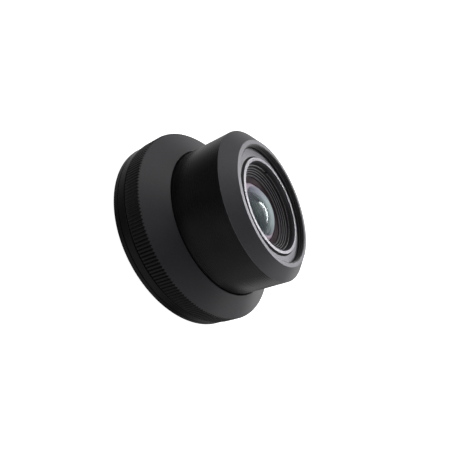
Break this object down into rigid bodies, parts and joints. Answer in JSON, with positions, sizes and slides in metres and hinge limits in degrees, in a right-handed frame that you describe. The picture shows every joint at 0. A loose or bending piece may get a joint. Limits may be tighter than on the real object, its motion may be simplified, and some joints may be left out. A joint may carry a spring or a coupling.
{
  "type": "aerial mapping lens",
  "caption": "Barrel lens for a mapping camera: knurled focus ring with a bevelled face, recessed front glass in a filter thread, blade shutter and rear bayonet.",
  "frame": {"origin": "on the optical axis, in the plane of the mount tube's rear end, which is the lowest point", "axes": "+Z along the optical axis towards the subject; +Y towards the electric contacts; the shutter motor is on +X"},
  "size_m": [0.0768, 0.0768, 0.0488],
  "materials": {
    "ring_black": "bead blasted and black anodised, knurl cut after",
    "band_black": "satin black anodised",
    "barrel_black": "satin black anodised, blasted bevel",
    "front_ring_grey": "fine turned, grey anodised",
    "baffle_black": "ridged, matte black anodised",
    "lens_ring_brown": "brown black anodised",
    "inner_black": "matte black anodised",
    "coated_glass": "polished, antireflection coated",
    "clear_glass": "polished",
    "chrome_steel": "chromed brass, fine turned",
    "screw_steel": "stainless",
    "bare_steel": "drawn can",
    "bare_aluminium": "turned",
    "cam_brass": "milled brass",
    "contact_gold": "gold plated",
    "blade_steel": "blackened spring steel",
    "washer_plastic": "slippery plastic",
    "black_plastic": "moulded",
    "board_green": "glass epoxy board",
    "seal_felt": "flock"
  },
  "bodies": {
    "housing": {"mount_ring": "chrome_steel", "mount_screws": "screw_steel", "rear_ring": "band_black", "rear_ring_screws": "screw_steel", "sleeve_screws": "screw_steel", "base_ring": "band_black", "focus_stop_pin": "screw_steel", "guide_sleeve": "bare_aluminium", "thrust_washer": "washer_plastic", "friction_washer": "washer_plastic", "sleeve_lock_ring": "inner_black", "contact_block": "black_plastic", "contact_pins": "contact_gold", "rear_mask": "inner_black", "circuit_board": "board_green", "board_chips": "black_plastic"},
    "focus_unit": {"focus_ring": "ring_black", "dust_seal": "seal_felt", "cam_sleeve": "cam_brass", "cam_sleeve_screws": "screw_steel"},
    "lens_head": {"front_barrel": "barrel_black", "front_retaining_ring": "front_ring_grey", "light_baffle": "baffle_black", "front_lens_ring": "lens_ring_brown", "front_cell": "inner_black", "front_element": "coated_glass", "front_spacer": "inner_black", "second_element": "clear_glass", "shutter_plate": "inner_black", "shutter_cover": "inner_black", "shutter_posts": "cam_brass", "shutter_screws": "screw_steel", "shutter_lock_ring": "inner_black", "shutter_motor": "bare_steel", "rear_cell": "inner_black", "doublet_front": "clear_glass", "doublet_rear": "clear_glass", "rear_spacer": "inner_black", "rear_element": "coated_glass", "rear_lens_ring": "inner_black", "cam_rollers": "cam_brass", "roller_screws": "screw_steel"},
    "shutter_ring_unit": {"shutter_drive_ring": "blade_steel"},
    "pinion_unit": {"motor_pinion": "cam_brass"},
    "blade_1_unit": {"shutter_blade_1": "blade_steel"},
    "blade_2_unit": {"shutter_blade_2": "blade_steel"},
    "blade_3_unit": {"shutter_blade_3": "blade_steel"},
    "blade_4_unit": {"shutter_blade_4": "blade_steel"},
    "blade_5_unit": {"shutter_blade_5": "blade_steel"},
    "blade_6_unit": {"shutter_blade_6": "blade_steel"}
  },
  "joints": [
    {"name": "focus_turn", "type": "hinge", "parent": "housing", "child": "focus_unit", "pos_m": [0, 0, 0.0145], "axis": [0, 0, 1], "range_deg": [0, 90]},
    {"name": "head_slide", "type": "slide", "parent": "housing", "child": "lens_head", "axis": [0, 0, 1], "range_m": [0, 0.0025]},
    {"name": "shutter_turn", "type": "hinge", "parent": "lens_head", "child": "shutter_ring_unit", "pos_m": [0, 0, 0.0279], "axis": [0, 0, 1], "range_deg": [0, 5.24]},
    {"name": "pinion_spin", "type": "hinge", "parent": "lens_head", "child": "pinion_unit", "pos_m": [0.0228, 0, 0.0279], "axis": [0, 0, 1], "range_deg": [-44.56, 0]},
    {"name": "blade_1_swing", "type": "hinge", "parent": "lens_head", "child": "blade_1_unit", "pos_m": [0.01457, 0.0053, 0.0264], "axis": [0, 0, 1], "range_deg": [0, 33.41]},
    {"name": "blade_2_swing", "type": "hinge", "parent": "lens_head", "child": "blade_2_unit", "pos_m": [0.00269, 0.01526, 0.0264], "axis": [0, 0, 1], "range_deg": [0, 33.41]},
    {"name": "blade_3_swing", "type": "hinge", "parent": "lens_head", "child": "blade_3_unit", "pos_m": [-0.01187, 0.00996, 0.0264], "axis": [0, 0, 1], "range_deg": [0, 33.41]},
    {"name": "blade_4_swing", "type": "hinge", "parent": "lens_head", "child": "blade_4_unit", "pos_m": [-0.01457, -0.0053, 0.0264], "axis": [0, 0, 1], "range_deg": [0, 33.41]},
    {"name": "blade_5_swing", "type": "hinge", "parent": "lens_head", "child": "blade_5_unit", "pos_m": [-0.00269, -0.01526, 0.0264], "axis": [0, 0, 1], "range_deg": [0, 33.41]},
    {"name": "blade_6_swing", "type": "hinge", "parent": "lens_head", "child": "blade_6_unit", "pos_m": [0.01187, -0.00996, 0.0264], "axis": [0, 0, 1], "range_deg": [0, 33.41]}
  ],
  "couplings": [
    {"joint": "head_slide", "follows": "focus_turn", "m_per_rad": 0.0015915},
    {"joint": "pinion_spin", "follows": "shutter_turn", "ratio": -8.5},
    {"joint": "blade_1_swing", "follows": "shutter_turn", "ratio": 6.3732},
    {"joint": "blade_2_swing", "follows": "shutter_turn", "ratio": 6.3732},
    {"joint": "blade_3_swing", "follows": "shutter_turn", "ratio": 6.3732},
    {"joint": "blade_4_swing", "follows": "shutter_turn", "ratio": 6.3732},
    {"joint": "blade_5_swing", "follows": "shutter_turn", "ratio": 6.3732},
    {"joint": "blade_6_swing", "follows": "shutter_turn", "ratio": 6.3732}
  ]
}
